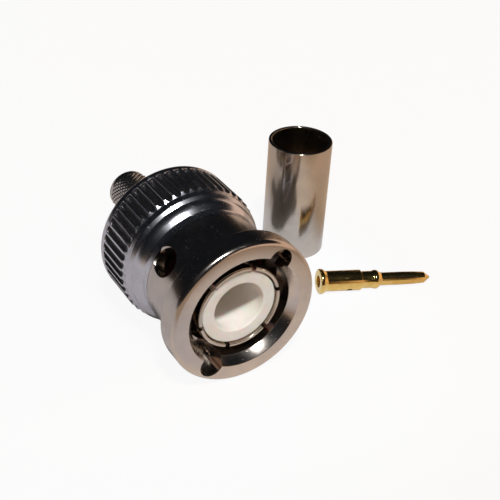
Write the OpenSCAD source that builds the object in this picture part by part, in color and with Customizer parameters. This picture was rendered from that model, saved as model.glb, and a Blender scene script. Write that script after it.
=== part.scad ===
// Crimp-type bayonet coaxial plug with its two loose pieces: the ferrule and the centre pin.
// The plug's axis lies along Y, its mating face towards -Y, and +Z is up.
// The origin is on that axis, in the plane of the coupling nut's front face.

/* [Coupling nut] */
// Outside diameter of the front flange and of the fluted ring
nut_d = 14.4; // [14.2:0.1:15.2]
// Width of the front flange
flange_w = 2.2; // [1.8:0.1:3]
// Rounding of the front flange's outer edge
face_edge = 0.35; // [0.1:0.05:0.5]
// Diameter of the neck between the flange and the shoulder
neck_d = 12.2; // [11.9:0.1:12.8]
// Diameter at the top of the domed shoulder
dome_d = 13.4; // [13:0.1:13.6]
// Length of the domed shoulder, with its hollow foot
dome_len = 1.7; // [1.3:0.1:2]
// Radius of the hollow at the shoulder's foot
dome_foot_r = 0.6; // [0.3:0.1:1]
// How far the fluted ring starts in front of the nut's inner shoulder
band_lead = 1.15; // [0.8:0.05:1.6]
// Width of the plain band in front of the flutes
band_w = 1.15; // [0.9:0.05:1.5]
// Depth of the plain band below the ring's crests
band_step = 0.2; // [0.1:0.05:0.25]
// Rounding of the plain band's front edge
band_edge = 0.25; // [0.1:0.05:0.3]
// Diameter of the bore that passes over the jack's barrel
bore_d = 9.9; // [9.8:0.05:10.2]
// Diameter of the lead-in at the mouth
mouth_d = 11; // [10.6:0.1:11.6]
// Depth of the lead-in
mouth_depth = 0.5; // [0.3:0.05:0.8]
// How far the nut is turned round the plug at rest, in degrees
nut_turn = 55; // [0:5:175]

/* [Flutes] */
// Number of flutes in the grip
flute_count = 50; // [36:2:56]
// Radius of the ball-ended cutter
flute_cutter_r = 0.36; // [0.3:0.02:0.4]
// Depth of a flute
flute_depth = 0.28; // [0.2:0.02:0.32]
// Plain rim left behind the flutes
rear_rim = 0.85; // [0.7:0.05:1.2]
// Rounding of the nut's rear edge
rear_edge = 0.45; // [0.2:0.05:0.6]

/* [Bayonet] */
// Diameter of the two entry channels for the studs
stud_channel_d = 2.3; // [2.2:0.05:2.6]
// Distance from the plug's axis to the middle of an entry channel
stud_channel_at = 5.4; // [5.3:0.05:5.6]
// Length of an entry, from the front face to the start of its ramp
stud_channel_len = 3.4; // [2.8:0.1:3.8]
// Radius at the bottom of the ramp grooves
ramp_r = 5.65; // [5.6:0.05:5.75]
// Quarter turn that locks the nut, in degrees
lock_turn = 90; // [80:5:100]
// Diameter of the detent holes
detent_d = 2.7; // [2.4:0.1:3]
// Width of the broken edge round a detent hole
detent_edge = 0.2; // [0.1:0.05:0.3]
// Distance from the gasket's seat forward to the locked studs
stud_reach = 4.55; // [4.3:0.05:4.9]

/* [Outer contact] */
// Outside diameter of the sleeve
contact_d = 8.1; // [8:0.02:8.15]
// Thickness of the sleeve
contact_wall = 0.35; // [0.3:0.02:0.4]
// Length of the sleeve in front of the body's flange
contact_reach = 9.5; // [9:0.1:10]
// Length pressed into the body
contact_seat = 2.1; // [1.6:0.1:2.6]
// How far the tip stands behind the nut's front face
contact_set = 0.9; // [0.6:0.1:1.2]
// How far the fingers flare outwards at the tip
flare = 0.12; // [0:0.02:0.2]
// Length of the flared part
flare_len = 1.6; // [1:0.1:2.5]
// Number of spring fingers
finger_count = 6; // [4:1:8]
// Width of the slots between the fingers
finger_slot = 0.45; // [0.3:0.05:0.7]
// Length of the slots
finger_len = 5.2; // [3:0.1:6.5]
// Turn of the first slot round the plug, in degrees
finger_turn = 13; // [0:1:59]

/* [Insulator] */
// Diameter of the socket in the insulator's front
socket_d = 4.95; // [4.8:0.05:5.1]
// How far the insulator stands behind the contact's tip
insulator_set = 0.2; // [0:0.05:0.5]
// Thickness of the web that holds the centre pin
web = 0.6; // [0.4:0.05:1]

/* [Body] */
// Thickness of the flange that the spring washers push
body_flange_t = 1.2; // [0.8:0.1:1.6]
// Diameter of the collar inside the washers
collar_d = 9.2; // [9:0.1:9.6]
// Diameter of the boss that stops the ferrule
boss_d = 7; // [6.6:0.1:7.6]
// Length of the boss behind the nut
boss_len = 0.8; // [0.5:0.1:1.5]
// Diameter over the knurl of the crimp stem
stem_d = 4.5; // [4.3:0.1:4.8]
// Length of the crimp stem behind the boss
stem_len = 8.45; // [7:0.05:10]
// Bore for the cable's inner insulation
cable_d = 3; // [2.8:0.05:3.2]

/* [Stem knurl] */
// Number of diamonds round the stem
knurl_count = 28; // [20:2:32]
// Length of one diamond along the stem
knurl_pitch = 0.52; // [0.4:0.02:0.7]
// Depth of the knurl
knurl_depth = 0.12; // [0.06:0.01:0.14]

/* [Washers and seal] */
// Width of the washers' rings, which sets the nut's rear chamber
washer_w = 1.05; // [0.8:0.05:1.2]
// Thickness of the gasket
gasket_t = 0.8; // [0.5:0.05:1.2]
// Free height of a wave washer
wave_h = 0.7; // [0.6:0.05:0.85]
// Sheet thickness of a wave washer
wave_t = 0.2; // [0.15:0.01:0.25]
// Number of waves round a washer
wave_count = 3; // [2:1:4]
// Thickness of the thrust washer
thrust_t = 0.4; // [0.3:0.05:0.6]
// Thickness of the retaining ring
ring_t = 0.6; // [0.4:0.05:0.8]
// Depth of the retaining ring's groove
groove_depth = 0.4; // [0.3:0.05:0.45]
// Opening of the split in the retaining ring
ring_split = 3; // [2:0.5:5]
// Wall of the nut behind the ring's groove
rear_lip = 1; // [0.8:0.1:1.5]

/* [Centre pin] */
// Diameter of the contact end
pin_d = 1.36; // [1.32:0.01:1.38]
// Overall length
pin_len = 12.3; // [11.8:0.1:12.3]
// Diameter of the flange at the wire end
pin_flange_d = 2.6; // [2.4:0.05:2.8]
// Thickness of that flange
pin_flange_t = 0.75; // [0.5:0.05:0.9]
// Width of the flange's rim, in front of the cone that joins it to the barrel
pin_rim = 0.35; // [0.2:0.05:0.45]
// Diameter of the crimp barrel
barrel_d = 2.14; // [2.05:0.01:2.2]
// Length of the crimp barrel
barrel_len = 3.75; // [3.4:0.05:4]
// Diameter of the stretch in front of the barrel
waist_d = 1.78; // [1.7:0.02:1.86]
// Length of that stretch, with the ring at its front end
waist_len = 1.8; // [1.4:0.05:2]
// Diameter of that ring
pin_ring_d = 1.96; // [1.9:0.02:2.02]
// Bore for the cable's inner conductor
wire_d = 1.2; // [1:0.05:1.3]
// Diameter of the inspection hole
sight_d = 0.6; // [0.4:0.05:0.8]

/* [Crimp ferrule] */
// Outside diameter
ferrule_d = 6.7; // [6.4:0.1:7]
// Thickness of the tube
ferrule_wall = 0.35; // [0.3:0.05:0.5]
// Length
ferrule_len = 12.8; // [11:0.1:15]

/* [Loose pieces] */
// Place of the ferrule, across the plug
ferrule_x = 16.4; // [13:0.1:20]
// Place of the ferrule, along the plug
ferrule_y = 17; // [13.4:0.1:20]
// Place of the pin's wire end, across the plug
pin_x = 13.65; // [12:0.05:16]
// Place of the pin's wire end, along the plug
pin_y = 7.9; // [5:0.1:8]
// Heading of the pin, in degrees clockwise from +X
pin_heading = 18.5; // [10:0.5:40]
// Roll of the pin on its own axis, in degrees, from its inspection hole facing up
pin_roll = 130; // [0:5:355]

/* [Fits] */
// Radial clearance of the pieces pressed or slid together
press = 0.01; // [0.005:0.005:0.02]
// Radial clearance of the pieces that turn in each other
running = 0.1; // [0.08:0.01:0.15]
// Clearance along the axis between the stacked pieces
stack_gap = 0.04; // [0.03:0.01:0.06]

/* [Hidden] */
$fn = 96;
over = 0.2;                 // how far a cutter runs past the face it cuts
small_edge = 0.12;          // broken edge of a turned corner
arc_steps = 8;

nut_r = nut_d / 2;
neck_r = neck_d / 2;
bore_r = bore_d / 2;
contact_r = contact_d / 2;
insulator_r = contact_r - contact_wall - press;
floor_z = -nut_r;

// Stations along the axis, from the nut's front face backwards.
insulator_front = contact_set + insulator_set;
seat_y = contact_set + contact_reach;             // front of the body's flange
contact_rear = seat_y + contact_seat;
shoulder_y = seat_y - stack_gap;                  // the nut's inner shoulder
flange_rear = seat_y + body_flange_t;
wave_front_y = flange_rear + stack_gap;
wave_rear_y = wave_front_y + wave_h + stack_gap;
thrust_y = wave_rear_y + wave_h + stack_gap;
ring_y = thrust_y + thrust_t + stack_gap;
groove_end = ring_y + ring_t + stack_gap;
nut_len = groove_end + rear_lip;
band_y = shoulder_y - band_lead;                  // front of the fluted ring
detent_y = seat_y - stud_reach;
boss_end = nut_len + boss_len;
stem_end = boss_end + stem_len;

// Radii of the pieces that sit inside the nut's rear chamber.
washer_in = collar_d / 2 + running;
washer_out = washer_in + washer_w;
chamber_r = washer_out + 2 * running;
groove_r = chamber_r + groove_depth;

// Stations along the centre pin, from its wire end.
barrel_end = pin_flange_t + barrel_len;
waist_end = barrel_end + waist_len;
pin_taper = 0.45;
pin_ring_w = 0.3;
pin_point = 0.7;
pin_root = waist_end + pin_taper;
pin_bottom = contact_rear - (pin_root - pin_flange_t) - press;   // where the pin's root stands when fitted
socket_bottom = pin_bottom - web;

// A turned solid: the profile's points are [radius, distance along the axis].
module turned(profile) rotate([-90, 0, 0]) rotate_extrude() polygon(profile);

// Places its children at an angle round the plug, counted from +X towards +Z.
module clock(angle) rotate([0, -angle, 0]) children();

// A rod along the plug's axis.
module axial(r, from, to) translate([0, from, 0]) rotate([-90, 0, 0]) cylinder(r = r, h = to - from);

// A rod that points away from the axis, at a station along it.
module radial(r, y, from, to) translate([from, y, 0]) rotate([0, 90, 0]) cylinder(r = r, h = to - from);

function arc(cx, cy, rx, ry, a0, a1) =
    [for (k = [0:arc_steps]) let (a = a0 + (a1 - a0) * k / arc_steps) [cx + rx * cos(a), cy + ry * sin(a)]];

section_corners = 4;        // corners of a swept section

// Faces of a closed ring of sections with corners points each, all wound the same way.
function ring_faces(sections, corners) =
    [for (i = [0:sections - 1], j = [0:corners - 1], half = [0, 1])
        let (a = i * corners, b = ((i + 1) % sections) * corners, k = (j + 1) % corners)
        half == 0 ? [b + k, a + k, a + j] : [b + j, b + k, a + j]];

// The same for an open run, with its two end faces.
function run_faces(sections, corners) = concat(
    [for (i = [0:sections - 2], j = [0:corners - 1], half = [0, 1])
        let (a = i * corners, b = (i + 1) * corners, k = (j + 1) % corners)
        half == 0 ? [b + k, a + k, a + j] : [b + j, b + k, a + j]],
    [[for (j = [0:corners - 1]) j], [for (j = [corners - 1:-1:0]) (sections - 1) * corners + j]]);

// ---- Coupling nut ----

neck_fillet = 0.5;
band_r = nut_r - band_step;
band_corner = min(band_edge, band_r - dome_d / 2);
flute_y = band_y + band_w;                        // where the ring steps up to the flutes' crests
// The shoulder is a hollow arc and a round one, which meet at its steepest slope.
dome_slope = 2 * atan((dome_d / 2 - neck_r) / dome_len);
dome_top_r = dome_len / sin(dome_slope) - dome_foot_r;
nut_outline = concat(
    [[mouth_d / 2, 0]],
    arc(nut_r - face_edge, face_edge, face_edge, face_edge, -90, 0),
    [[nut_r, flange_w - small_edge], [nut_r - small_edge, flange_w]],
    arc(neck_r + neck_fillet, flange_w + neck_fillet, neck_fillet, neck_fillet, -90, -180),
    arc(neck_r + dome_foot_r, band_y - dome_len, -dome_foot_r, dome_foot_r, 0, dome_slope),
    arc(dome_d / 2 - dome_top_r, band_y, dome_top_r, dome_top_r, -dome_slope, 0),
    arc(band_r - band_corner, band_y + band_corner, band_corner, band_corner, -90, 0),
    [[band_r, flute_y], [nut_r, flute_y + band_step]],
    arc(nut_r - rear_edge, nut_len - rear_edge, rear_edge, rear_edge, 0, 90));
nut_inside = [
    [chamber_r + small_edge, nut_len], [chamber_r, nut_len - small_edge],
    [chamber_r, groove_end], [groove_r, groove_end],
    [groove_r, ring_y - stack_gap / 2], [chamber_r, ring_y - stack_gap / 2],
    [chamber_r, shoulder_y], [bore_r, shoulder_y], [bore_r, mouth_depth]];

module flute_cutter() {
    first = flute_y - band_step;                  // runs out over the step, into the plain band
    last = nut_len - rear_rim - flute_cutter_r;
    translate([nut_r + flute_cutter_r - flute_depth, 0, 0]) {
        axial(flute_cutter_r, first, last);
        translate([0, last, 0]) sphere(flute_cutter_r, $fn = 24);
    }
}

// One bayonet ramp: it winds from the entry channel round to the detent hole.
ramp_steps = 16;
ramp_start = stud_channel_len - stud_channel_d / 2;
module ramp() {
    half = stud_channel_d / 2;
    inner = bore_r - over;
    points = [for (i = [0:ramp_steps])
        let (t = i / ramp_steps, a = -lock_turn * t, y = ramp_start + (detent_y - ramp_start) * t)
        for (c = [[inner, -half], [inner, half], [ramp_r, half], [ramp_r, -half]])
            [c[0] * cos(a), y + c[1], c[0] * sin(a)]];
    polyhedron(points, run_faces(ramp_steps + 1, section_corners), convexity = 4);
}

module detent_hole() {
    radial(detent_d / 2, detent_y, bore_r - over, nut_r);
    translate([neck_r - detent_edge, detent_y, 0]) rotate([0, 90, 0])
        cylinder(r1 = detent_d / 2, r2 = detent_d / 2 + 2 * detent_edge, h = 2 * detent_edge);
}

module coupling_nut() {
    color("lightgray") difference() {
        turned(concat(nut_outline, nut_inside));
        for (k = [0:flute_count - 1]) clock(360 * k / flute_count) flute_cutter();
        for (side = [0, 180]) clock(nut_turn + side) {
            translate([stud_channel_at, 0, 0]) axial(stud_channel_d / 2, -over, flange_w - neck_fillet / 2);
            translate([bore_r - over, -over, -stud_channel_d / 2])
                cube([ramp_r - bore_r + over, stud_channel_len + over, stud_channel_d]);
            ramp();
            clock(-lock_turn) detent_hole();
        }
    }
}

// ---- What the nut holds ----

module retaining_ring() {
    outer = groove_r - running / 2;
    inner = collar_d / 2 + 3 * running;
    color("slategray") difference() {
        turned([[inner, ring_y], [outer, ring_y], [outer, ring_y + ring_t], [inner, ring_y + ring_t]]);
        clock(nut_turn) translate([0, ring_y - over, -ring_split / 2])
            cube([nut_r, ring_t + 2 * over, ring_split]);
    }
}

module thrust_washer() {
    color("lightslategray") turned([[washer_in, thrust_y], [washer_out, thrust_y],
        [washer_out, thrust_y + thrust_t], [washer_in, thrust_y + thrust_t]]);
}

wave_steps = 24;
module wave_washer(y, phase) {
    sections = wave_steps * wave_count;
    swing = (wave_h - wave_t) / 2;
    points = [for (i = [0:sections - 1])
        let (a = 360 * i / sections, mid = y + wave_h / 2 + swing * cos(a * wave_count + phase))
        for (c = [[washer_in, -wave_t / 2], [washer_in, wave_t / 2],
                  [washer_out, wave_t / 2], [washer_out, -wave_t / 2]])
            [c[0] * cos(a), mid + c[1], -c[0] * sin(a)]];
    polyhedron(points, ring_faces(sections, section_corners), convexity = 4);
}

module wave_washer_front() color("dimgray") wave_washer(wave_front_y, 0);

module wave_washer_rear() color("dimgray") wave_washer(wave_rear_y, 180);

module gasket() {
    color("firebrick") turned([[contact_r + running / 2, seat_y - gasket_t], [bore_r - running, seat_y - gasket_t],
        [bore_r - running, seat_y], [contact_r + running / 2, seat_y]]);
}

// ---- Plug body ----

stem_r = stem_d / 2;
knurl_start = boss_end + 0.6;
knurl_rows = floor((stem_len - 1) / knurl_pitch) * 2;
knurl_root = stem_r - knurl_depth;
stem_core = knurl_root - 0.03;

// Pointed diamonds: high and low corners alternate round the stem and along it, and the low ones join.
// The first and last rings dip into the stem, so that the knurl runs out.
module knurled_rod() {
    sides = 2 * knurl_count;
    dip = stem_core - small_edge;
    points = [for (i = [0:knurl_rows], j = [0:sides - 1])
        let (r = i % knurl_rows == 0 ? dip : (i + j) % 2 == 0 ? stem_r : knurl_root, a = 360 * j / sides)
        [r * cos(a), knurl_start + i * knurl_pitch / 2, -r * sin(a)]];
    skin = [for (i = [0:knurl_rows - 1], j = [0:sides - 1], half = [0, 1])
        let (k = (j + 1) % sides, a = i * sides + j, b = i * sides + k, c = a + sides, d = b + sides)
        (i + j) % 2 == 0 ? (half == 0 ? [c, b, a] : [c, d, b]) : (half == 0 ? [d, b, a] : [c, d, a])];
    first = [for (j = [0:sides - 1]) j];
    last = [for (j = [sides - 1:-1:0]) knurl_rows * sides + j];
    polyhedron(points, concat(skin, [first, last]), convexity = 4);
}

module plug_body() {
    seat_r = contact_r + press;
    flange_r = chamber_r - running;
    color("gainsboro") difference() {
        union() {
            turned([[0, seat_y], [flange_r, seat_y], [flange_r, flange_rear], [collar_d / 2, flange_rear],
                [collar_d / 2, nut_len - 3 * small_edge], [collar_d / 2 - 3 * small_edge, nut_len],
                [boss_d / 2, nut_len], [boss_d / 2, boss_end - small_edge], [boss_d / 2 - small_edge, boss_end],
                [stem_core, boss_end], [stem_core, stem_end - small_edge], [stem_core - small_edge, stem_end],
                [0, stem_end]]);
            knurled_rod();
        }
        axial(seat_r, seat_y - over, contact_rear);
        axial(cable_d / 2, contact_rear - over, stem_end + over);
    }
}

// ---- Contacts and insulator ----

module outer_contact() {
    inner_r = contact_r - contact_wall;
    tip = contact_set;
    slot_end = tip + finger_len;
    color("silver") difference() {
        turned([[inner_r + flare, tip], [contact_r + flare - small_edge, tip], [contact_r + flare, tip + small_edge],
            [contact_r + flare, tip + flare_len / 2], [contact_r, tip + flare_len],
            [contact_r, contact_rear], [inner_r, contact_rear], [inner_r, tip + flare_len]]);
        for (k = [0:finger_count - 1]) clock(finger_turn + 360 * k / finger_count)
            translate([inner_r / 2, tip - over, -finger_slot / 2])
                cube([contact_r, slot_end - tip + over, finger_slot]);
    }
}

module insulator() {
    color("white") difference() {
        turned([[0, insulator_front], [insulator_r - small_edge, insulator_front],
            [insulator_r, insulator_front + small_edge], [insulator_r, contact_rear - small_edge],
            [insulator_r - small_edge, contact_rear], [0, contact_rear]]);
        axial(socket_d / 2, insulator_front - over, socket_bottom);
        axial(pin_d / 2 + 2 * press, socket_bottom - over, pin_bottom + over);
        axial(barrel_d / 2 + 2 * press, pin_bottom, contact_rear + over);
    }
}

// The pin leans on its flange and on the ring in front of its barrel.
pin_lean = atan((pin_flange_d - pin_ring_d) / 2 / (waist_end - pin_rim));
pin_rest = pin_flange_d / 2 * cos(pin_lean) + pin_rim * sin(pin_lean);

module pin_shape() {
    r = pin_d / 2;
    flange_r = pin_flange_d / 2;
    edge = small_edge / 2;
    nose = pin_len - pin_point;
    tip_r = 0.08;
    difference() {
        turned([[0, 0], [flange_r - small_edge, 0], [flange_r, small_edge], [flange_r, pin_rim],
            [barrel_d / 2, pin_flange_t], [barrel_d / 2, barrel_end - edge], [barrel_d / 2 - edge, barrel_end],
            [waist_d / 2, barrel_end], [waist_d / 2, waist_end - 1.5 * pin_ring_w],
            [pin_ring_d / 2, waist_end - pin_ring_w], [pin_ring_d / 2, waist_end],
            [r, pin_root], [r, (pin_root + nose) / 2], [0.86 * r, nose], [tip_r, pin_len], [0, pin_len]]);
        axial(wire_d / 2, -over, barrel_end);
        translate([0, 0.72 * barrel_end, 0]) cylinder(d = sight_d, h = barrel_d);
    }
}

module center_pin() {
    color("goldenrod") translate([pin_x, pin_y, floor_z + pin_rest])
        rotate([-pin_lean, 0, -90 - pin_heading]) rotate([0, pin_roll, 0]) pin_shape();
}

module crimp_ferrule() {
    edge = ferrule_wall / 4;
    outer = ferrule_d / 2;
    inner = outer - ferrule_wall;
    color("silver") translate([ferrule_x, ferrule_y, floor_z]) rotate_extrude()
        polygon([[inner, 0], [outer - edge, 0], [outer, edge], [outer, ferrule_len - edge],
            [outer - edge, ferrule_len], [inner, ferrule_len]]);
}

coupling_nut();
retaining_ring();
thrust_washer();
wave_washer_front();
wave_washer_rear();
gasket();
plug_body();
outer_contact();
insulator();
center_pin();
crimp_ferrule();
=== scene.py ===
import math
import bmesh
import bpy
from mathutils import Matrix, Vector


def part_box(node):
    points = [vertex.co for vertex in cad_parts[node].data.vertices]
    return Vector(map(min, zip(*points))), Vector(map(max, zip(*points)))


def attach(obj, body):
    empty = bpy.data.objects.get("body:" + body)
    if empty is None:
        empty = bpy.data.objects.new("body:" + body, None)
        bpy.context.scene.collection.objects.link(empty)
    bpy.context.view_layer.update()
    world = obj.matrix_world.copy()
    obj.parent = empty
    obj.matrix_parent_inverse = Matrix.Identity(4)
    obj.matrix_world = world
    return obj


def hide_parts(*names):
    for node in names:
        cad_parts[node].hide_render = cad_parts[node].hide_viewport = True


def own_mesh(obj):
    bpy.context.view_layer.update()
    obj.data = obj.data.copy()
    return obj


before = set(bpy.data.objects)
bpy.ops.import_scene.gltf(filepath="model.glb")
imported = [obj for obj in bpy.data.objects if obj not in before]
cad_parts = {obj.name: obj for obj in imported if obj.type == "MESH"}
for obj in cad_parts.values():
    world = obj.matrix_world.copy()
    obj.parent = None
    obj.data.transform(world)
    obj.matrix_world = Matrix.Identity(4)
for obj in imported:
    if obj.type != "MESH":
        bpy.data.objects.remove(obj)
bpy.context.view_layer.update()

mm = 0.001  # lengths below are in mm and angles in degrees, unless a note says otherwise
collection = bpy.context.scene.collection


def alongPlug(node):
    # a node's radius, front and back on the plug's axis, in mm
    low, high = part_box(node)
    return high.x / mm, low.y / mm, high.y / mm


nutRadius, nutFront, nutBack = alongPlug("coupling_nut")
sleeveRadius, sleeveFront, sleeveBack = alongPlug("outer_contact")
whiteRadius, whiteFront, whiteBack = alongPlug("insulator")
flangeRadius, seatY, stemEnd = alongPlug("plug_body")
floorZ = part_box("coupling_nut")[0].z


class Wire:
    # a socket that takes part in Python expressions
    def __init__(self, finish, socket):
        self.finish = finish
        self.socket = socket

    def maths(self, operation, first, second):
        return self.finish.node("ShaderNodeMath", {"operation": operation}, {0: first, 1: second})

    def __add__(self, other):
        return self.maths("ADD", self, other)

    def __sub__(self, other):
        return self.maths("SUBTRACT", self, other)

    def __rsub__(self, other):
        return self.maths("SUBTRACT", other, self)

    def __mul__(self, other):
        return self.maths("MULTIPLY", self, other)

    def __pow__(self, other):
        return self.maths("POWER", self, other)

    __radd__ = __add__
    __rmul__ = __mul__


class Finish:
    # a node tree, for a material or for the world
    def __init__(self, owner):
        self.owner = owner
        owner.use_nodes = True
        self.tree = owner.node_tree
        self.tree.nodes.clear()

    def node(self, kind, settings=None, inputs=None, output=0):
        made = self.tree.nodes.new(kind)
        for key, value in (settings or {}).items():
            if key == "stops":
                self.setStops(made.color_ramp, value)
            else:
                setattr(made, key, value)
        for key, value in (inputs or {}).items():
            if isinstance(value, Wire):
                self.tree.links.new(value.socket, made.inputs[key])
            else:
                made.inputs[key].default_value = value
        return Wire(self, made.outputs[output]) if made.outputs else made

    def setStops(self, ramp, stops):
        while len(ramp.elements) < len(stops):
            ramp.elements.new(0.5)
        for element, (place, colour) in zip(ramp.elements, stops):
            element.position = place
            element.color = (*colour, 1)

    def blend(self, amount, first, second):
        # a mix of two colours; Mix keeps its colour sockets at 6 and 7
        return self.node("ShaderNodeMix", {"data_type": "RGBA"}, {0: amount, 6: first, 7: second}, output=2)

    def fit(self, value, low, high, toLow=0.0, toHigh=1.0):
        return self.node("ShaderNodeMapRange", {"interpolation_type": "SMOOTHSTEP"},
                         {0: value, 1: low, 2: high, 3: toLow, 4: toHigh})

    def noise(self, vector, scale, detail=3.0, rough=0.5):
        return self.node("ShaderNodeTexNoise", {}, {"Vector": vector, "Scale": scale, "Detail": detail,
                                                    "Roughness": rough})


def turnedPlace(finish):
    # where a point lies on a turned piece, in mm: all three, and then across and along its axis
    point = finish.node("ShaderNodeVectorMath", {"operation": "SCALE"},
                        {0: finish.node("ShaderNodeTexCoord", output="Object"), "Scale": 1 / mm})
    x = finish.node("ShaderNodeSeparateXYZ", {}, {0: point}, output=0)
    y = finish.node("ShaderNodeSeparateXYZ", {}, {0: point}, output=1)
    z = finish.node("ShaderNodeSeparateXYZ", {}, {0: point}, output=2)
    across = (x * x + z * z) ** 0.5
    return point, across, y


def metal(name, look):
    # plated metal: fine turning marks, small scratches, smears, and painted shade in the low places
    finish = Finish(bpy.data.materials.new(name))
    point, across, along = turnedPlace(finish)
    lathe = finish.node("ShaderNodeCombineXYZ", {}, {0: across, 1: along, 2: 0.0})
    marks = finish.noise(lathe, look["markScale"], 4.0, 0.7)
    smear = finish.noise(point, look["smearScale"], 3.0, 0.6)
    grain = finish.noise(point, look["grainScale"], 5.0, 0.65)
    drawn = finish.node("ShaderNodeVectorMath", {"operation": "MULTIPLY"}, {0: point, 1: look["scratchWay"]})
    scratch = finish.fit(finish.noise(drawn, look["scratchScale"], 2.0, 0.5), *look["scratchPart"])
    low = finish.fit(across, look["cleanFrom"], look["dirtBelow"])
    # painted shade: low places behind a place on the axis go dark and rougher
    dirt = low * finish.fit(along, look["dirtFrom"], look["dirtFrom"] + look["dirtFade"]) * look["dirt"]
    plain = finish.blend(finish.fit(smear, 0.35, 0.65), (*look["colour"], 1), (*look["second"], 1))
    worn = finish.blend(scratch * look["scratchShow"], plain, (*look["scratched"], 1))
    colour = finish.blend(dirt * finish.fit(grain, 0.2, 0.6, 0.6, 1.0), worn, (*look["dirtColour"], 1))
    rough = (look["rough"] + finish.fit(smear, 0.4, 0.7) * look["smearRough"] + scratch * look["scratchRough"]
             + dirt * look["dirtRough"] + finish.fit(grain, 0.5, 0.8) * look["grainRough"])
    height = marks * look["markDepth"] + grain * look["grainDepth"] - scratch * look["scratchDepth"]
    bump = finish.node("ShaderNodeBump", {}, {"Strength": 1.0, "Distance": mm, "Height": height})
    shader = finish.node("ShaderNodeBsdfPrincipled", {}, {
        "Base Color": colour, "Metallic": 1.0, "Roughness": rough, "Normal": bump})
    finish.node("ShaderNodeOutputMaterial", {}, {"Surface": shader})
    return finish.owner


nickelLook = {
    "colour": (0.60, 0.535, 0.48), "second": (0.54, 0.49, 0.455), "scratched": (0.70, 0.66, 0.62),
    "rough": 0.165, "smearRough": 0.05, "grainRough": 0.05, "scratchRough": 0.12, "dirtRough": 0.25,
    "smearScale": 0.45, "grainScale": 9.0, "grainDepth": 0.0008, "markScale": 7.0, "markDepth": 0.0010,
    "scratchScale": 1.6, "scratchWay": (0.6, 0.6, 7.0), "scratchDepth": 0.0006, "scratchShow": 0.35,
    "scratchPart": (0.66, 0.72),  # only the noise's tops become scratches
    # painted shade lies below a radius and behind a place on the axis; plain pieces have none
    "dirtColour": (0.10, 0.09, 0.085), "dirt": 0.0, "cleanFrom": 100.0, "dirtBelow": 0.0,
    "dirtFrom": 0.0, "dirtFade": 0.3,
}
# the grip's lighter, bluish colour is a painted bluish sheen, and its painted shade darkens the flute bottoms and
# the inside of the rear chamber nearly to black
gripLook = nickelLook | {
    "colour": (0.64, 0.64, 0.69), "second": (0.56, 0.565, 0.62), "rough": 0.20,
    "dirtColour": (0.055, 0.052, 0.052), "dirt": 1.0, "dirtFrom": 10.3,
    "cleanFrom": nutRadius - 0.02, "dirtBelow": nutRadius - 0.12,
}
bodyLook = nickelLook | {"colour": (0.62, 0.59, 0.55), "second": (0.55, 0.52, 0.49), "rough": 0.18}
sleeveLook = nickelLook | {"colour": (0.58, 0.53, 0.46), "second": (0.50, 0.46, 0.40), "rough": 0.14}
ferruleLook = nickelLook | {
    "colour": (0.57, 0.49, 0.40), "second": (0.52, 0.45, 0.38), "rough": 0.13,
    "scratchWay": (5.0, 0.5, 5.0), "markDepth": 0.0004,
}
goldLook = nickelLook | {
    "colour": (0.86, 0.62, 0.22), "second": (0.78, 0.53, 0.16), "scratched": (0.93, 0.76, 0.40),
    "rough": 0.14, "markScale": 12.0, "markDepth": 0.0008, "smearScale": 1.2,
}
springLook = nickelLook | {"colour": (0.42, 0.42, 0.43), "second": (0.34, 0.34, 0.35), "rough": 0.28}


whiteLook = {
    "colour": (0.88, 0.83, 0.765), "second": (0.83, 0.775, 0.705), "mottleScale": 0.8,
    "grainScale": 14.0, "grainDepth": 0.0035, "rough": (0.36, 0.46), "bend": 1.38, "glow": 0.35,
}


def waxyWhite(name, look):
    # white insulation plastic, faintly mottled
    finish = Finish(bpy.data.materials.new(name))
    point = turnedPlace(finish)[0]
    mottle = finish.noise(point, look["mottleScale"], 3.0, 0.6)
    grain = finish.noise(point, look["grainScale"], 3.0, 0.6)
    colour = finish.blend(finish.fit(mottle, 0.3, 0.7), (*look["colour"], 1), (*look["second"], 1))
    bump = finish.node("ShaderNodeBump", {}, {
        "Strength": 1.0, "Distance": mm, "Height": grain * look["grainDepth"]})
    shader = finish.node("ShaderNodeBsdfPrincipled", {}, {
        "Base Color": colour, "Roughness": finish.fit(grain, 0.3, 0.7, *look["rough"]), "IOR": look["bend"],
        "Subsurface Weight": look["glow"], "Subsurface Scale": mm, "Normal": bump})
    finish.node("ShaderNodeOutputMaterial", {}, {"Surface": shader})
    return finish.owner


redLook = {
    "colour": (0.42, 0.065, 0.045), "dusty": (0.50, 0.16, 0.12), "dustScale": 3.0, "dustDepth": 0.004,
    "rough": (0.5, 0.65),
}


def softRed(name, look):
    # silicone with a dry, slightly dusty face
    finish = Finish(bpy.data.materials.new(name))
    dust = finish.noise(turnedPlace(finish)[0], look["dustScale"], 4.0, 0.6)
    colour = finish.blend(finish.fit(dust, 0.4, 0.8), (*look["colour"], 1), (*look["dusty"], 1))
    bump = finish.node("ShaderNodeBump", {}, {
        "Strength": 1.0, "Distance": mm, "Height": dust * look["dustDepth"]})
    shader = finish.node("ShaderNodeBsdfPrincipled", {}, {
        "Base Color": colour, "Roughness": finish.fit(dust, 0.3, 0.7, *look["rough"]), "Normal": bump})
    finish.node("ShaderNodeOutputMaterial", {}, {"Surface": shader})
    return finish.owner


nickel = metal("nickelPlate", nickelLook)
# nickel for the grip, with a painted bluish sheen and painted shade
gripNickel = metal("gripNickel", gripLook)
bodyNickel = metal("bodyNickel", bodyLook)
sleeveNickel = metal("sleeveNickel", sleeveLook)
ferruleNickel = metal("ferruleNickel", ferruleLook)
gold = metal("goldPlate", goldLook)
springSteel = metal("springSteel", springLook)
insulation = waxyWhite("whiteInsulation", whiteLook)
silicone = softRed("redSilicone", redLook)
print("finishes made")


def arc(centreR, centreY, radiusR, radiusY, start, end, steps=8):
    # points of an outline round a centre, as (radius, along)
    turns = [math.radians(start + (end - start) * k / steps) for k in range(steps + 1)]
    return [(centreR + radiusR * math.cos(t), centreY + radiusY * math.sin(t)) for t in turns]


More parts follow.
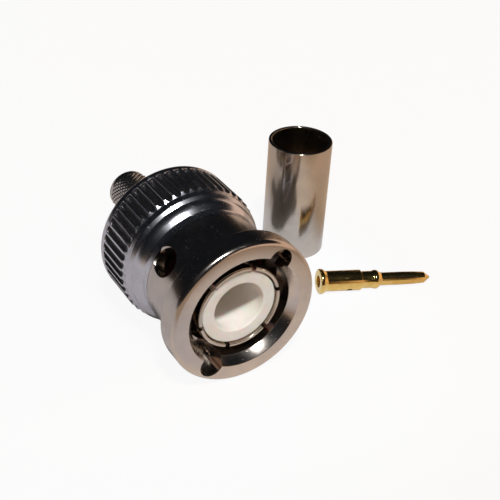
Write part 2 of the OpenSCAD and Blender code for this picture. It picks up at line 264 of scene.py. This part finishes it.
def eased(outline, radius, steps=3):
    # each sharp corner of a closed outline gets a small round
    made = []
    count = len(outline)
    for k, corner in enumerate(outline):
        here = Vector(corner)
        back = Vector(outline[k - 1]) - here
        ahead = Vector(outline[(k + 1) % count]) - here
        if min(back.length, ahead.length) < 1e-6 or math.pi - back.angle(ahead) < math.radians(25):
            made.append(corner)
            continue
        reach = min(radius, 0.4 * back.length, 0.4 * ahead.length)
        start = here + back.normalized() * reach
        end = here + ahead.normalized() * reach
        for step in range(steps + 1):
            t = step / steps
            point = start * (1 - t) ** 2 + here * 2 * t * (1 - t) + end * t ** 2
            made.append((point.x, point.y))
    return made


def evenAngles(count):
    # a full turn in equal steps, in radians
    return [2 * math.pi * k / count for k in range(count)]


def addPiece(name, points, faces):
    # a new mesh object from points in mm
    mesh = bpy.data.meshes.new(name)
    mesh.from_pydata([Vector(p) * mm for p in points], [], faces)
    mesh.validate()
    piece = bpy.data.objects.new(name, mesh)
    collection.objects.link(piece)
    return piece


def tidyFaces(piece, sharp=40):
    # normals point outwards, and shading is smooth except over sharp edges
    built = bmesh.new()
    built.from_mesh(piece.data)
    bmesh.ops.recalc_face_normals(built, faces=built.faces)
    built.to_mesh(piece.data)
    built.free()
    piece.data.shade_smooth()
    piece.data.set_sharp_from_angle(angle=math.radians(sharp))


def turnedPiece(name, outline, angles, shape=None, sharp=40, ends=True):
    # an outline of (radius, along) points turned about Y; shape may move a point's radius
    rows, count = len(outline), len(angles)
    points = []
    for radius, along in outline:
        for angle in angles:
            r = shape(radius, along, angle) if shape else radius
            points.append((r * math.cos(angle), along, r * math.sin(angle)))
    faces = []
    for i in range(rows if ends else rows - 1):
        a, b = i * count, (i + 1) % rows * count
        for j in range(count):
            k = (j + 1) % count
            faces.append((a + j, a + k, b + k, b + j))
    piece = addPiece(name, points, faces)
    tidyFaces(piece, sharp)
    return piece


def sweptPiece(name, sections, closed=False):
    # a run of sections with the same number of corners, capped if it isn't a ring
    corners = len(sections[0])
    points = [p for section in sections for p in section]
    faces = []
    for i in range(len(sections) if closed else len(sections) - 1):
        a, b = i * corners, (i + 1) % len(sections) * corners
        faces += [(a + j, a + (j + 1) % corners, b + (j + 1) % corners, b + j) for j in range(corners)]
    if not closed:
        faces += [tuple(range(corners)), tuple(range((len(sections) - 1) * corners, len(sections) * corners))]
    piece = addPiece(name, points, faces)
    tidyFaces(piece)
    return piece


def rod(radius, start, end, sides=64, widen=0.0):
    # a cutter between two points, in mm
    way = (Vector(end) - Vector(start)).normalized()
    side = way.orthogonal().normalized()
    other = way.cross(side)
    sections = []
    for point, r in ((Vector(start), radius), (Vector(end), radius + widen)):
        sections.append([point + side * r * math.cos(t) + other * r * math.sin(t) for t in evenAngles(sides)])
    return sweptPiece("cutter", sections)


def onPlug(angle, radius, along):
    # a point at an angle round the plug, from +X towards +Z, in degrees
    t = math.radians(angle)
    return Vector((radius * math.cos(t), along, radius * math.sin(t)))


def slab(angle, near, far, width, start, end):
    # a cutter box that points away from the axis
    t = math.radians(angle)
    side = Vector((-math.sin(t), 0, math.cos(t))) * width / 2
    sections = []
    for along in (start, end):
        inner, outer = onPlug(angle, near, along), onPlug(angle, far, along)
        sections.append([inner - side, outer - side, outer + side, inner + side])
    return sweptPiece("cutter", sections)


def carve(piece, cutters, bevel=0.0, sharp=40, steps=2):
    # the cutters come out of a piece, and its sharp edges are bevelled
    for cutter in cutters:
        trim = piece.modifiers.new("trim", "BOOLEAN")
        trim.solver = "EXACT"
        trim.object = cutter
    if bevel:
        soft = piece.modifiers.new("soft", "BEVEL")
        soft.width = bevel * mm
        soft.segments = steps
        soft.angle_limit = math.radians(sharp)
        soft.use_clamp_overlap = True
    bpy.context.view_layer.update()
    made = bpy.data.meshes.new_from_object(piece.evaluated_get(bpy.context.evaluated_depsgraph_get()))
    piece.modifiers.clear()
    piece.data = made
    for cutter in cutters:
        bpy.data.objects.remove(cutter)
    piece.data.shade_smooth()
    piece.data.set_sharp_from_angle(angle=math.radians(sharp))


def finishPiece(piece, body, slot, material, *nodes):
    # the piece's finish, the body it moves with, its slot (not used), and the solids that it stands for
    piece.data.materials.clear()
    piece.data.materials.append(material)
    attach(piece, body)
    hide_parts(*nodes)
    print(piece.name, len(piece.data.polygons), "faces")


nut = {
    "flangeWidth": 2.2, "faceEdge": 0.52, "neck": 6.1, "neckFillet": 0.5, "seam": 7.2, "turn": 55.0,
    "edge": 0.06, "chamberEdge": 0.08, "cutEdge": 0.045, "collarSides": 288, "overcut": 0.5, "undercut": 0.4,
    # shoulder and band, which steps up to the flutes
    "dome": 6.66, "domeSlope": 38.0, "domeFoot": 0.35, "domeTop": 1.2, "domeFlat": 0.1,
    "bandLead": 1.15, "bandWidth": 0.98, "bandStep": 0.26, "bandRun": 0.35, "bandEdge": 0.09,
    "stepRun": 0.34, "stepLead": 0.31,
    # bores, and the chamber with its ring groove
    "bore": 4.95, "mouth": 5.6, "mouthDepth": 0.85, "shoulder": 10.36, "chamber": 5.95,
    "ringGroove": 6.35, "ringAt": (13.54, 14.20),
    # flutes
    "flutes": 50, "cutter": 0.36, "fluteDepth": 0.28, "fluteLead": 0.25, "fluteEdge": 0.03,
    "endSteepness": 4, "rearRim": 0.85, "rearEdge": 0.45,
    # bayonet: entries, ramps and detent holes
    "entry": 1.15, "entryAt": 5.65, "entryLength": 3.4, "ramp": 5.65, "rampSteps": 32, "lockTurn": 90.0,
    "detent": 1.35, "detentEdge": 0.2, "detentAt": 5.85,
}
bandFront = nut["shoulder"] - nut["bandLead"]
fluteFront = bandFront + nut["bandWidth"]
fluteFirst = fluteFront + nut["fluteLead"]
fluteLast = nutBack - nut["rearRim"] - nut["cutter"] / nut["endSteepness"]


def makeCollar():
    # flange and neck, with the entries, ramps and detent holes
    flange, neck, fillet = nut["flangeWidth"], nut["neck"], nut["neckFillet"]
    outline = (
        [(nut["bore"], nut["seam"]), (nut["bore"], nut["mouthDepth"]), (nut["mouth"], 0.0)]
        + arc(nutRadius - nut["faceEdge"], nut["faceEdge"], nut["faceEdge"], nut["faceEdge"], -90, 0, 10)
        + [(nutRadius, flange)]
        + arc(neck + fillet, flange + fillet, fillet, fillet, -90, -180, 10)
        + [(neck, nut["seam"])])
    piece = turnedPiece("nut_collar", eased(outline, nut["edge"]), evenAngles(nut["collarSides"]))
    inside, front = nut["bore"] - nut["undercut"], -nut["overcut"]
    ahead = nut["detentAt"]
    cutters = []
    for side in (0, 180):
        entry = nut["turn"] + side
        lock = entry - nut["lockTurn"]
        cutters.append(rod(nut["entry"], onPlug(entry, nut["entryAt"], front),
                           onPlug(entry, nut["entryAt"], flange - fillet / 2)))
        cutters.append(slab(entry, inside, nut["ramp"], 2 * nut["entry"], front, nut["entryLength"]))
        half, start = nut["entry"], nut["entryLength"] - nut["entry"]
        corners = ((inside, -half), (inside, half), (nut["ramp"], half), (nut["ramp"], -half))
        sections = []
        for k in range(nut["rampSteps"] + 1):
            share = k / nut["rampSteps"]
            along = start + (ahead - start) * share
            sections.append([onPlug(entry - nut["lockTurn"] * share, r, along + d) for r, d in corners])
        cutters.append(sweptPiece("cutter", sections))
        cutters.append(rod(nut["detent"], onPlug(lock, inside, ahead), onPlug(lock, nutRadius, ahead), 72))
        edge = nut["detentEdge"]
        cutters.append(rod(nut["detent"], onPlug(lock, neck - edge, ahead), onPlug(lock, neck + edge, ahead),
                           72, 2 * edge))
    carve(piece, cutters, nut["cutEdge"], 35)
    return piece


def makeGrip():
    # dome, plain band, flutes and rear rim
    neck, foot, top, dome = nut["neck"], nut["domeFoot"], nut["domeTop"], nut["dome"]
    band, chamber, groove = nutRadius - nut["bandStep"], nut["chamber"], nut["ringGroove"]
    ringFront, ringBack = nut["ringAt"]
    slope = math.radians(nut["domeSlope"])
    straight = (dome - neck - (foot + top) * (1 - math.cos(slope))) / math.tan(slope)
    domeEnd = bandFront - nut["domeFlat"]
    domeStart = domeEnd - straight - (foot + top) * math.sin(slope)
    plainEnd = fluteFront - nut["stepLead"]
    cutter, centre = nut["cutter"], nutRadius + nut["cutter"] - nut["fluteDepth"]
    steep = nut["endSteepness"]
    # rows lie close together at both ends of the flutes
    ball = [0.0, 0.06, 0.12, 0.2, 0.3, 0.42, 0.55, 0.7, 0.85, 1.0]
    lead = [0.04 * k - 0.30 for k in range(6)] + [-0.05] + [0.04 * k for k in range(10)]
    rows = ([fluteFront + step for step in lead]
            + [fluteFirst + (fluteLast - fluteFirst) * k / 4 for k in range(1, 4)]
            + [fluteLast + cutter * (1 - t) / steep for t in reversed(ball)])
    edge = nut["rearEdge"]
    outline = (
        [(neck, nut["seam"])]
        + arc(neck + foot, domeStart, -foot, foot, 0, nut["domeSlope"], 8)
        + arc(dome - top, domeEnd, top, top, -nut["domeSlope"], 0, 12)
        + eased([(dome, bandFront - 0.8 * nut["domeFlat"]), (dome, bandFront), (band, bandFront + nut["bandRun"]),
                 (band, plainEnd - 0.01)], nut["bandEdge"], 4)[1:-1]
        + [(band + nut["bandStep"] * max(0.0, min(1.0, (y - fluteFront) / nut["stepRun"])), y) for y in rows]
        + arc(nutRadius - edge, nutBack - edge, edge, edge, 0, 90, 10)
        + eased([(chamber, nutBack), (chamber, ringBack), (groove, ringBack), (groove, ringFront),
                 (chamber, ringFront), (chamber, nut["shoulder"]), (nut["bore"], nut["shoulder"]),
                 (nut["bore"], nut["seam"])], nut["chamberEdge"], 2))
    period = 2 * math.pi / nut["flutes"]
    half = [0.1, 0.21, 0.3, 0.35, 0.385, 0.41, 0.44]  # points from a flute's middle to the land beside it
    shares = [-0.5] + [-share for share in reversed(half)] + [0.0] + half
    angles = [period * (k + share) for k in range(nut["flutes"]) for share in shares]

    def fluted(radius, along, angle):
        if radius < band - 0.01 or along < plainEnd:
            return radius
        beyond = max(fluteFirst - along, (along - fluteLast) * steep, 0.0)
        if beyond >= cutter:
            return radius
        turn = (angle / period + 0.5) % 1 * period - period / 2
        left = cutter ** 2 - beyond ** 2 - (centre * math.sin(turn)) ** 2
        if left <= 0:
            return radius
        cut = centre * math.cos(turn) - math.sqrt(left)
        soft = nut["fluteEdge"]
        return min(radius, cut) - max(soft - abs(radius - cut), 0) ** 2 / (4 * soft)

    return turnedPiece("nut_grip", outline, angles, fluted, 50, ends=False)


finishPiece(makeCollar(), "nut", "nickel_plate", nickel, "coupling_nut")
finishPiece(makeGrip(), "nut", "nickel_plate", gripNickel, "coupling_nut")


sleeve = {
    "wall": 0.35, "flare": 0.12, "flareLength": 1.6, "tipEdge": 0.1, "edge": 0.07, "cutEdge": 0.03,
    "fingers": 6, "slot": 0.45, "slotLength": 5.2, "turn": 13.0,
}


def makeSleeve():
    # slotted contact, whose fingers flare at the tip
    radius = sleeveRadius - sleeve["flare"]
    inner = radius - sleeve["wall"]
    tip, flared = radius + sleeve["flare"], sleeveFront + sleeve["flareLength"]
    outline = [
        (inner + sleeve["flare"], sleeveFront), (tip - sleeve["tipEdge"], sleeveFront), (tip, sleeveFront + 0.12),
        (tip, sleeveFront + sleeve["flareLength"] / 2), (radius, flared), (radius, sleeveBack),
        (inner, sleeveBack), (inner, flared)]
    piece = turnedPiece("contact_sleeve", eased(outline, sleeve["edge"]), evenAngles(192))
    slots = [sleeve["turn"] + 360 * k / sleeve["fingers"] for k in range(sleeve["fingers"])]
    carve(piece, [slab(angle, inner / 2, radius + 1, sleeve["slot"], sleeveFront - 0.5,
                       sleeveFront + sleeve["slotLength"]) for angle in slots], sleeve["cutEdge"], 35)
    return piece


finishPiece(makeSleeve(), "plug", "nickel_plate", sleeveNickel, "outer_contact")


white = {"socket": 2.475, "socketDepth": 4.79, "web": 0.6, "pinHole": 0.70, "barrelHole": 1.09, "edge": 0.14}
socketEnd = whiteFront + white["socketDepth"]
whiteOutline = [
    (white["socket"], whiteFront), (whiteRadius, whiteFront), (whiteRadius, whiteBack),
    (white["barrelHole"], whiteBack), (white["barrelHole"], socketEnd + white["web"]),
    (white["pinHole"], socketEnd + white["web"]), (white["pinHole"], socketEnd), (white["socket"], socketEnd)]
finishPiece(turnedPiece("white_insulator", eased(whiteOutline, white["edge"], 5), evenAngles(128)),
            "plug", "insulation", insulation, "insulator")


body = {
    "seatBore": 4.06, "flange": 1.2, "collar": 4.6, "chamfer": 0.36, "boss": 3.5, "bossLength": 0.8,
    "cable": 1.5, "edge": 0.08, "endEdge": 0.1,
    # knurled stem: rows of diamonds, with rounded tops and a run-out at each end
    "stem": 2.25, "depth": 0.12, "groove": 0.03, "diamonds": 28, "pitch": 0.52, "rows": 14, "plainStart": 0.6,
    "top": 0.86, "runOut": 0.2, "relief": 0.02, "finePerDiamond": 10,
}
bossEnd = nutBack + body["bossLength"]
knurlStart = bossEnd + body["plainStart"]
knurlEnd = knurlStart + body["rows"] * body["pitch"]
stemRoot = body["stem"] - body["depth"]


def knurled(radius, along, angle):
    # two sets of grooves that cross leave the diamonds
    if abs(radius - stemRoot) > 1e-6:
        return radius
    run = min(along - knurlStart, knurlEnd - along)
    if run < 0:
        return stemRoot - body["groove"]
    turn = angle / (2 * math.pi) * body["diamonds"] * 2
    step = (along - knurlStart) / body["pitch"] * 2
    first, second = turn + step, turn - step
    away = max(abs(first - 2 * round(first / 2)), abs(second - 2 * round(second / 2)))
    rise = min(1.0, run / body["runOut"]) * min(1 - away, body["top"]) / body["top"]
    return stemRoot - body["groove"] + (body["depth"] + body["groove"]) * rise


def makeBody():
    # seat, flange, collar, boss and stem
    collar, chamfer, flangeEnd = body["collar"], body["chamfer"], seatY + body["flange"]
    neck, edge = stemRoot - body["relief"], body["edge"]
    count = body["rows"] * body["finePerDiamond"]
    knurlRows = [knurlStart + (knurlEnd - knurlStart) * k / count for k in range(count + 1)]
    outline = (
        eased([(body["cable"], whiteBack), (body["seatBore"], whiteBack), (body["seatBore"], seatY),
               (flangeRadius, seatY), (flangeRadius, flangeEnd), (collar, flangeEnd),
               (collar, nutBack - chamfer), (collar - chamfer, nutBack), (body["boss"], nutBack),
               (body["boss"], bossEnd), (neck, bossEnd), (neck, knurlStart - 0.1)], edge)[:-1]
        + [(stemRoot, y) for y in [knurlStart - 0.05, *knurlRows, knurlEnd + 0.05]]
        + [(neck, stemEnd - body["endEdge"]), (stemRoot - body["endEdge"], stemEnd),
           (body["cable"] + edge, stemEnd), (body["cable"], stemEnd - edge)])
    angles = evenAngles(body["diamonds"] * body["finePerDiamond"])
    return turnedPiece("plug_body_turned", outline, angles, knurled, 50)


finishPiece(makeBody(), "plug", "nickel_plate", bodyNickel, "plug_body")


thrust = {"in": 4.7, "out": 5.75, "edge": 0.06}
gasket = {"in": 4.10, "out": 4.85, "edge": 0.12}
ring = {"in": 4.9, "out": 6.30, "split": 3.0, "edge": 0.06, "steps": 120}
wave = {"in": 4.7, "out": 5.75, "sheet": 0.2, "height": 0.7, "waves": 3, "edge": 0.05, "steps": 144}


def section(sizes, start, end, steps=3):
    # the eased oblong that a washer or a ring is made of
    inner, outer = sizes["in"], sizes["out"]
    return eased([(inner, start), (outer, start), (outer, end), (inner, end)], sizes["edge"], steps)


def makeWasher(name, sizes, node):
    return turnedPiece(name, section(sizes, *alongPlug(node)[1:]), evenAngles(128))


def makeWave(name, start, phase):
    # a spring washer of thin sheet, with waves round it
    swing, half = (wave["height"] - wave["sheet"]) / 2, wave["sheet"] / 2
    sections = []
    for k in range(wave["steps"]):
        angle = 2 * math.pi * k / wave["steps"]
        middle = start + wave["height"] / 2 + swing * math.cos(angle * wave["waves"] + phase)
        sections.append([(r * math.cos(angle), y, -r * math.sin(angle))
                         for r, y in section(wave, middle - half, middle + half, 2)])
    return sweptPiece(name, sections, closed=True)


def makeRing(name, node):
    # the retaining ring, with its split at the nut's entry
    half = math.asin(ring["split"] / 2 / ring["out"])
    first = math.radians(nut["turn"]) + half
    sections = []
    for k in range(ring["steps"] + 1):
        angle = first + (2 * math.pi - 2 * half) * k / ring["steps"]
        sections.append([(r * math.cos(angle), y, r * math.sin(angle))
                         for r, y in section(ring, *alongPlug(node)[1:], 2)])
    return sweptPiece(name, sections)


finishPiece(makeWasher("thrust_ring", thrust, "thrust_washer"),
            "carrier", "spring_steel", springSteel, "thrust_washer")
finishPiece(makeRing("split_ring", "retaining_ring"), "nut", "spring_steel", springSteel, "retaining_ring")
finishPiece(makeWasher("red_gasket", gasket, "gasket"), "plug", "silicone", silicone, "gasket")
for name, node, phase in (("wave_ring_front", "wave_washer_front", 0.0),
                          ("wave_ring_rear", "wave_washer_rear", math.pi)):
    piece = makeWave(name, alongPlug(node)[1], phase)
    finishPiece(piece, "plug", "spring_steel", springSteel, node)
    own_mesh(piece)


ferrule = {"wall": 0.35, "edge": 0.1}


def makeFerrule():
    # a plain tube that stands on its end
    low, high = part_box("crimp_ferrule")
    outer, length = (high.x - low.x) / 2 / mm, (high.z - low.z) / mm
    inner = outer - ferrule["wall"]
    outline = eased([(inner, 0.0), (outer, 0.0), (outer, length), (inner, length)], ferrule["edge"], 5)
    piece = turnedPiece("loose_ferrule", outline, evenAngles(192))
    piece.matrix_world = (Matrix.Translation(((low.x + high.x) / 2, (low.y + high.y) / 2, low.z))
                          @ Matrix.Rotation(math.radians(90), 4, "X"))
    return piece


finishPiece(makeFerrule(), "plug", "nickel_plate", ferruleNickel, "crimp_ferrule")


pin = {
    "at": (13.65, 7.9), "heading": 18.5, "roll": 130.0, "length": 12.3, "edge": 0.05, "axis": 0.001,
    # wire end: flange, and the crimp barrel with its bore and inspection hole
    "flange": 1.3, "rim": 0.35, "rimEdge": 0.10, "flangeWidth": 0.75, "barrel": 1.07, "barrelLength": 3.75,
    "wire": 0.6, "sight": 0.3, "sightAt": 0.72,
    # waist and ring
    "waist": 0.89, "waistLength": 1.8, "ring": 0.98, "ringWidth": 0.3, "taper": 0.45,
    # contact, which narrows a little before its point
    "contact": 0.68, "narrowing": (0.965, 0.86), "point": 0.7, "tip": 0.08,
}
barrelEnd = pin["flangeWidth"] + pin["barrelLength"]
waistEnd = barrelEnd + pin["waistLength"]
pinRoot = waistEnd + pin["taper"]
nose = pin["length"] - pin["point"]


def makePin():
    contact, waist, early, late = pin["contact"], pin["waist"], *pin["narrowing"]
    outline = [
        (pin["wire"], 0.0), (pin["flange"] - pin["rimEdge"], 0.0), (pin["flange"], pin["rimEdge"]),
        (pin["flange"], pin["rim"]), (pin["barrel"], pin["flangeWidth"]), (pin["barrel"], barrelEnd),
        (waist, barrelEnd), (waist, waistEnd - 1.5 * pin["ringWidth"]), (pin["ring"], waistEnd - pin["ringWidth"]),
        (pin["ring"], waistEnd), (contact, pinRoot), (contact, (pinRoot + nose) / 2),
        (early * contact, (pinRoot + 3 * nose) / 4), (late * contact, nose), (pin["tip"], pin["length"]),
        (pin["axis"], pin["length"]), (pin["axis"], barrelEnd), (pin["wire"], barrelEnd)]
    piece = turnedPiece("loose_pin", eased(outline, pin["edge"]), evenAngles(96))
    sightY = pin["sightAt"] * barrelEnd
    carve(piece, [rod(pin["sight"], (0, sightY, 0), (0, sightY, 2), 40)])
    return piece


def layPin(piece):
    # the pin rests on its flange and its ring, so it leans
    lean = math.atan((pin["flange"] - pin["ring"]) / (waistEnd - pin["rim"]))
    rest = pin["flange"] * math.cos(lean) + pin["rim"] * math.sin(lean)
    piece.matrix_world = (
        Matrix.Translation((pin["at"][0] * mm, pin["at"][1] * mm, floorZ + rest * mm))
        @ Matrix.Rotation(math.radians(-90 - pin["heading"]), 4, "Z") @ Matrix.Rotation(-lean, 4, "X")
        @ Matrix.Rotation(math.radians(pin["roll"]), 4, "Y"))
    return piece


finishPiece(layPin(makePin()), "plug", "gold_plate", gold, "center_pin")
print("pieces made")


ground = {
    # colours round the plug, and further off
    # the darker colour on the front left is painted shade
    "near": (0.74, 0.64, 0.57), "nearLeft": (0.62, 0.58, 0.60), "left": (0.50, 0.46, 0.47),
    # the dark colour just behind the plug is a painted shadow of its stem
    "behind": (0.74, 0.79, 0.90), "behindLeft": (0.36, 0.32, 0.31), "right": (0.36, 0.28, 0.18),
    "far": (0.64, 0.46, 0.33), "farLeft": (0.56, 0.52, 0.52), "farFront": (0.38, 0.25, 0.15),
    # where one colour fades into the next, in m
    "nearSpan": (-0.002, 0.014), "nearSkew": 0.4, "frontSpan": (-0.006, -0.001), "backSpan": (0.0, 0.009),
    "leftSpan": (-0.009, -0.004), "behindSpan": (0.004, 0.010), "rightSpan": (0.018, 0.026),
    "farSpan": (-0.02, 0.03), "farFrontSpan": (-0.008, -0.022), "middle": (0.003, 0.008), "reach": (0.014, 0.03),
    # how much of it shines white to the camera, in reflections and through clear pieces
    "toCamera": 0.93, "toGlossy": 0.05, "toClear": 0.25,
    "half": 1200.0, "mottleScale": 400.0, "mottle": 0.1, "pale": (0.8, 0.8, 0.8),
}


def makeFloor():
    half, z = ground["half"], floorZ / mm
    floor = addPiece("floor", [(-half, -half, z), (half, -half, z), (half, half, z), (-half, half, z)],
                     [(0, 1, 2, 3)])
    finish = Finish(bpy.data.materials.new("paleFloor"))
    point = finish.node("ShaderNodeTexCoord", output="Object")
    x = finish.node("ShaderNodeSeparateXYZ", {}, {0: point}, output=0)
    y = finish.node("ShaderNodeSeparateXYZ", {}, {0: point}, output=1)
    mottle = finish.noise(point, ground["mottleScale"], 2.0, 0.5)

    def fade(value, span, first, second):
        # either colour may be the name of one in the dictionary
        first, second = ((*ground[c], 1) if isinstance(c, str) else c for c in (first, second))
        return finish.blend(finish.fit(value, *ground[span]), first, second)

    # front left: painted shade
    front = fade(x - y * ground["nearSkew"], "nearSpan", "nearLeft", "near")
    front = fade(y, "frontSpan", front, "near")
    # just behind the plug: painted shadow of its stem
    back = fade(x, "leftSpan", "left", "behindLeft")
    back = fade(x, "behindSpan", back, "behind")
    back = fade(x, "rightSpan", back, "right")
    close = fade(y, "backSpan", front, back)
    beyond = fade(x, "farSpan", "farLeft", "far")
    beyond = fade(y, "farFrontSpan", beyond, "farFront")
    dx, dy = x - ground["middle"][0], y - ground["middle"][1]
    colour = fade((dx * dx + dy * dy) ** 0.5, "reach", close, beyond)
    colour = finish.blend(mottle * ground["mottle"], colour, (*ground["pale"], 1))
    matt = finish.node("ShaderNodeBsdfPrincipled", {}, {
        "Base Color": colour, "Roughness": 1.0, "Specular IOR Level": 0.0})
    shining = finish.node("ShaderNodeEmission", {}, {"Color": (1, 1, 1, 1), "Strength": 1.0})
    camera = finish.node("ShaderNodeLightPath", output="Is Camera Ray")
    glossy = finish.node("ShaderNodeLightPath", output="Is Glossy Ray")
    clear = finish.node("ShaderNodeLightPath", output="Is Transmission Ray")
    share = camera * ground["toCamera"] + glossy * ground["toGlossy"] + clear * ground["toClear"]
    surface = finish.node("ShaderNodeMixShader", {}, {0: share, 1: matt, 2: shining})
    finish.node("ShaderNodeOutputMaterial", {}, {"Surface": surface})
    floor.data.materials.append(finish.owner)


room = {
    "sky": (0.15, 0.15, 0.15), "ceiling": (0.006, 0.0075, 0.010), "wall": (0.035, 0.024, 0.018),
    "wallSpan": (0.0, 0.25), "glow": (0.95, 0.65, 0.47),
    # the glow is low, on the front right
    "glowRise": (0.40, 0.30), "glowSkew": 0.9, "glowTurn": (-0.06, 0.06), "glowFrom": (0.1, 0.3),
}


def makeWorld():
    # white to the camera, plain grey as light, and a dark room in reflections
    world = bpy.data.worlds.new("studio")
    bpy.context.scene.world = world
    finish = Finish(world)
    way = finish.node("ShaderNodeTexCoord", output="Generated")
    x, y, up = (finish.node("ShaderNodeSeparateXYZ", {}, {0: way}, output=k) for k in range(3))
    dark = finish.blend(finish.fit(up, *room["wallSpan"]), (*room["wall"], 1), (*room["ceiling"], 1))
    lit = (finish.fit(up, *room["glowRise"]) * finish.fit(x * room["glowSkew"] - y, *room["glowTurn"])
           * finish.fit(x, *room["glowFrom"]))
    reflected = finish.blend(lit, dark, (*room["glow"], 1))
    camera = finish.node("ShaderNodeLightPath", output="Is Camera Ray")
    glossy = finish.node("ShaderNodeLightPath", output="Is Glossy Ray")
    soft = finish.blend(glossy, (*room["sky"], 1), reflected)
    seen = finish.blend(camera, soft, (1, 1, 1, 1))
    sky = finish.node("ShaderNodeBackground", {}, {"Color": seen, "Strength": 1.0})
    finish.node("ShaderNodeOutputWorld", {}, {"Surface": sky})


lamps = {
    "key": {"turn": -20.6, "rise": 61.5, "away": 0.50, "size": 0.06, "power": 2.28, "colour": (1.0, 1.0, 1.0)},
    "fill": {"turn": -30.0, "rise": 60.0, "away": 0.52, "size": 0.34, "power": 0.022,
             "colour": (1.0, 0.93, 0.86)},
}
focus = Vector((0.004, 0.009, 0))


def awayFrom(turn, rise):
    # turn 0 looks along +Y; rise is above the floor
    t, e = math.radians(turn), math.radians(rise)
    return Vector((math.sin(t) * math.cos(e), -math.cos(t) * math.cos(e), math.sin(e)))


def makeLamp(name, plan):
    lamp = bpy.data.lights.new(name, "AREA")
    lamp.shape = "DISK"
    lamp.size = plan["size"]
    lamp.energy = plan["power"]
    lamp.color = plan["colour"]
    lampObject = bpy.data.objects.new(name, lamp)
    way = awayFrom(plan["turn"], plan["rise"])
    lampObject.location = focus + way * plan["away"]
    lampObject.rotation_euler = way.to_track_quat("Z", "Y").to_euler()
    collection.objects.link(lampObject)


lens = {"length": 68.51, "turn": -32.58, "rise": 33.32, "roll": 3.32, "at": (-35.691, -55.929, 50.324)}


def makeCamera():
    backward = awayFrom(lens["turn"], lens["rise"])
    right = (-backward).cross(Vector((0, 0, 1))).normalized()
    up = right.cross(-backward)
    roll = math.radians(lens["roll"])
    x = right * math.cos(roll) + up * math.sin(roll)
    y = up * math.cos(roll) - right * math.sin(roll)
    data = bpy.data.cameras.new("camera")
    data.sensor_width = 36
    data.lens = lens["length"]
    data.clip_start = 0.002
    data.clip_end = 20
    camera = bpy.data.objects.new("camera", data)
    turned = Matrix((x, y, backward)).transposed().to_4x4()
    camera.matrix_world = Matrix.Translation(Vector(lens["at"]) * mm) @ turned
    collection.objects.link(camera)
    bpy.context.scene.camera = camera


makeFloor()
makeWorld()
for name, plan in lamps.items():
    makeLamp(name, plan)
makeCamera()
bpy.context.scene.view_settings.view_transform = "Standard"
print("studio made")
